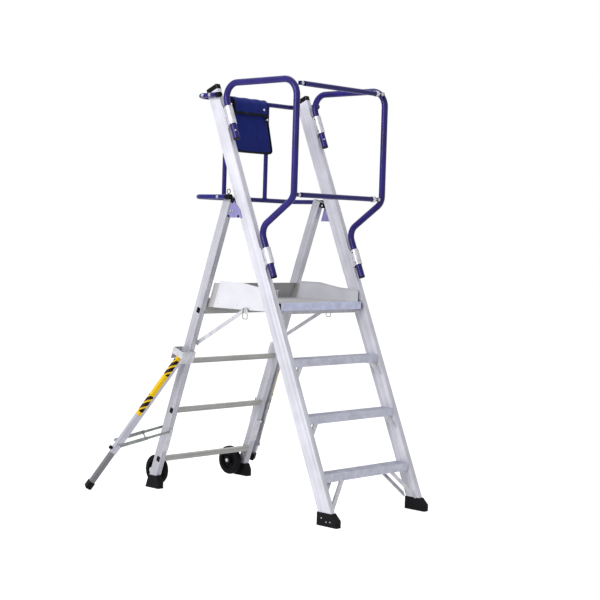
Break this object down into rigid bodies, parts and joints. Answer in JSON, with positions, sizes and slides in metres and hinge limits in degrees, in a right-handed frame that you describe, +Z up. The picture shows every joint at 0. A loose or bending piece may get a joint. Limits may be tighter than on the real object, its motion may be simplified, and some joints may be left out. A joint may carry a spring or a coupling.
{
  "type": "podium step",
  "caption": "Free-standing podium step with treads, a guarded platform, lift-up gate bars, a folding rear frame, wheels and swing-out stabiliser legs.",
  "frame": {"origin": "on the floor, midway between the front stiles, on the line where their front faces meet it", "axes": "+X to the climber's right, +Y rearward under the platform, +Z up"},
  "size_m": [1.0305, 1.4126, 2.0105],
  "materials": {
    "front_alloy": "drawn aluminium, satin",
    "rear_alloy": "drawn aluminium, satin",
    "tread_alloy": "ribbed aluminium",
    "deck_alloy": "ribbed aluminium",
    "board_alloy": "bright aluminium sheet",
    "tube_alloy": "drawn aluminium, satin",
    "bracket_alloy": "cast and folded aluminium",
    "zinc_steel": "zinc-plated steel",
    "rail_paint": "violet-navy powder coat",
    "guard_paint": "navy powder coat",
    "black_plastic": "moulded, fine grain",
    "foot_rubber": "moulded rubber",
    "tyre_rubber": "solid rubber",
    "bag_cloth": "woven navy cloth with black binding"
  },
  "bodies": {
    "front_frame": {"front_stile_left": "front_alloy", "front_stile_right": "front_alloy", "front_caps": "black_plastic", "front_foot_left": "foot_rubber", "front_foot_right": "foot_rubber", "tread_1": "tread_alloy", "tread_2": "tread_alloy", "tread_3": "tread_alloy", "tread_stays": "bracket_alloy", "rail_sockets": "bracket_alloy", "hinge_plates": "bracket_alloy", "pivot_pins": "zinc_steel", "frame_bolts": "zinc_steel"},
    "rear_frame": {"rear_stile_left": "rear_alloy", "rear_stile_right": "rear_alloy", "rear_rung_1": "tube_alloy", "rear_rung_2": "tube_alloy", "rear_rung_3": "tube_alloy", "rear_cross_tube": "tube_alloy", "rung_plugs": "black_plastic", "rear_feet": "foot_rubber", "hinge_tongues": "black_plastic", "wheel_brackets": "bracket_alloy", "rear_pivot_bolts": "zinc_steel", "stabiliser_brackets": "bracket_alloy"},
    "platform": {"platform_deck": "deck_alloy", "platform_nosing": "tread_alloy", "toe_board_left": "board_alloy", "toe_board_right": "board_alloy", "toe_board_rear": "board_alloy"},
    "guard": {"guard_upper_rail": "guard_paint", "guard_lower_rail": "guard_paint", "guard_posts": "guard_paint", "guard_fittings": "black_plastic"},
    "bag": {"tool_bag": "bag_cloth"},
    "bag_cover": {"bag_flap": "bag_cloth"},
    "gate_upper": {"gate_bar_upper": "guard_paint"},
    "gate_lower": {"gate_bar_lower": "guard_paint"},
    "side_rail_left": {"side_rail_left": "rail_paint", "rail_plugs_left": "black_plastic"},
    "stay_left": {"platform_stay_left": "bracket_alloy"},
    "catch_left": {"catch_left": "zinc_steel"},
    "wheel_left": {"wheel_left": "black_plastic", "tyre_left": "tyre_rubber"},
    "stabiliser_left": {"leg_left": "tube_alloy"},
    "extension_left": {"slider_left": "tube_alloy", "foot_cap_left": "foot_rubber"},
    "strut_left": {"strut_left": "bracket_alloy"},
    "knob_left": {"knob_left": "black_plastic"},
    "side_rail_right": {"side_rail_right": "rail_paint", "rail_plugs_right": "black_plastic"},
    "stay_right": {"platform_stay_right": "bracket_alloy"},
    "catch_right": {"catch_right": "zinc_steel"},
    "wheel_right": {"wheel_right": "black_plastic", "tyre_right": "tyre_rubber"},
    "stabiliser_right": {"leg_right": "tube_alloy"},
    "extension_right": {"slider_right": "tube_alloy", "foot_cap_right": "foot_rubber"},
    "strut_right": {"strut_right": "bracket_alloy"},
    "knob_right": {"knob_right": "black_plastic"}
  },
  "joints": [
    {"name": "rear_fold", "type": "hinge", "parent": "front_frame", "child": "rear_frame", "pos_m": [0, 0.7072, 1.4379], "axis": [-1, 0, 0], "range_deg": [0, 38]},
    {"name": "platform_lift", "type": "hinge", "parent": "front_frame", "child": "platform", "pos_m": [0, 0.455, 0.945], "axis": [1, 0, 0], "range_deg": [0, 67.7]},
    {"name": "side_rail_left_slide", "type": "slide", "parent": "front_frame", "child": "side_rail_left", "axis": [0, 0.3911, 0.9203], "range_m": [0, 0.1]},
    {"name": "side_rail_right_slide", "type": "slide", "parent": "front_frame", "child": "side_rail_right", "axis": [0, 0.3911, 0.9203], "range_m": [0, 0.1]},
    {"name": "gate_upper_hinge", "type": "hinge", "parent": "side_rail_left", "child": "gate_upper", "pos_m": [-0.278, 0.326, 1.975], "axis": [0, -1, 0], "range_deg": [0, 80]},
    {"name": "gate_lower_hinge", "type": "hinge", "parent": "side_rail_left", "child": "gate_lower", "pos_m": [-0.278, 0.326, 1.47], "axis": [0, -1, 0], "range_deg": [0, 50]},
    {"name": "guard_hinge", "type": "hinge", "parent": "front_frame", "child": "guard", "pos_m": [0, 0.8582, 1.94], "axis": [1, 0, 0], "range_deg": [0, 75]},
    {"name": "bag_swing", "type": "hinge", "parent": "guard", "child": "bag", "pos_m": [0, 0.963, 1.94], "axis": [1, 0, 0], "range_deg": [-75, 0]},
    {"name": "bag_cover_hinge", "type": "hinge", "parent": "bag", "child": "bag_cover", "pos_m": [0, 0.963, 1.95685], "axis": [-1, 0, 0], "range_deg": [0, 100]},
    {"name": "stay_left_hinge", "type": "hinge", "parent": "rear_frame", "child": "stay_left", "pos_m": [-0.2867, 0.964, 0.75], "axis": [-1, 0, 0], "range_deg": [0, 31.6]},
    {"name": "catch_left_swing", "type": "hinge", "parent": "stay_left", "child": "catch_left", "pos_m": [-0.2911, 0.637, 0.93], "axis": [1, 0, 0], "range_deg": [-60, 60]},
    {"name": "wheel_left_spin", "type": "hinge", "parent": "rear_frame", "child": "wheel_left", "pos_m": [-0.255, 1.28, 0.08], "axis": [1, 0, 0], "continuous": true},
    {"name": "stay_right_hinge", "type": "hinge", "parent": "rear_frame", "child": "stay_right", "pos_m": [0.2867, 0.964, 0.75], "axis": [-1, 0, 0], "range_deg": [0, 31.6]},
    {"name": "catch_right_swing", "type": "hinge", "parent": "stay_right", "child": "catch_right", "pos_m": [0.2911, 0.637, 0.93], "axis": [1, 0, 0], "range_deg": [-60, 60]},
    {"name": "wheel_right_spin", "type": "hinge", "parent": "rear_frame", "child": "wheel_right", "pos_m": [0.255, 1.28, 0.08], "axis": [1, 0, 0], "continuous": true},
    {"name": "stabiliser_left_fold", "type": "hinge", "parent": "rear_frame", "child": "stabiliser_left", "pos_m": [-0.348, 1.01124, 0.685], "axis": [-0.4399, -0.8475, -0.2969], "range_deg": [0, 19]},
    {"name": "stabiliser_right_deploy", "type": "hinge", "parent": "rear_frame", "child": "stabiliser_right", "pos_m": [0.348, 1.01124, 0.685], "axis": [0.4399, -0.8475, -0.2969], "range_deg": [0, 19]},
    {"name": "extension_left_slide", "type": "slide", "parent": "stabiliser_left", "child": "extension_left", "axis": [0.3247, -0.4584, 0.8273], "range_m": [0, 0.1692]},
    {"name": "extension_right_slide", "type": "slide", "parent": "stabiliser_right", "child": "extension_right", "axis": [0.0345, 0.3463, -0.9375], "range_m": [0, 0.1692]},
    {"name": "strut_left_hinge", "type": "hinge", "parent": "stabiliser_left", "child": "strut_left", "pos_m": [-0.52661, 1.26334, 0.22998], "axis": [-0.4399, -0.8475, -0.2969], "range_deg": [0, 35.4]},
    {"name": "strut_right_hinge", "type": "hinge", "parent": "stabiliser_right", "child": "strut_right", "pos_m": [0.36696, 1.2017, 0.16938], "axis": [0.4399, -0.8475, -0.2969], "range_deg": [0, 35.4]},
    {"name": "knob_left_turn", "type": "hinge", "parent": "stabiliser_left", "child": "knob_left", "pos_m": [-0.53538, 1.27572, 0.20765], "axis": [-0.8373, 0.2676, 0.4769], "continuous": true},
    {"name": "knob_right_turn", "type": "hinge", "parent": "stabiliser_right", "child": "knob_right", "pos_m": [0.36789, 1.21105, 0.14407], "axis": [0.8974, 0.4022, 0.1816], "continuous": true}
  ],
  "couplings": [
    {"joint": "platform_lift", "follows": "rear_fold", "ratio": 1.7734},
    {"joint": "stay_left_hinge", "follows": "rear_fold", "ratio": 0.8236},
    {"joint": "stay_right_hinge", "follows": "rear_fold", "ratio": 0.8236},
    {"joint": "side_rail_right_slide", "follows": "side_rail_left_slide", "ratio": 1},
    {"joint": "bag_swing", "follows": "guard_hinge", "ratio": -1},
    {"joint": "strut_left_hinge", "follows": "stabiliser_left_fold", "ratio": 1.8452},
    {"joint": "strut_right_hinge", "follows": "stabiliser_right_deploy", "ratio": 1.8452}
  ]
}
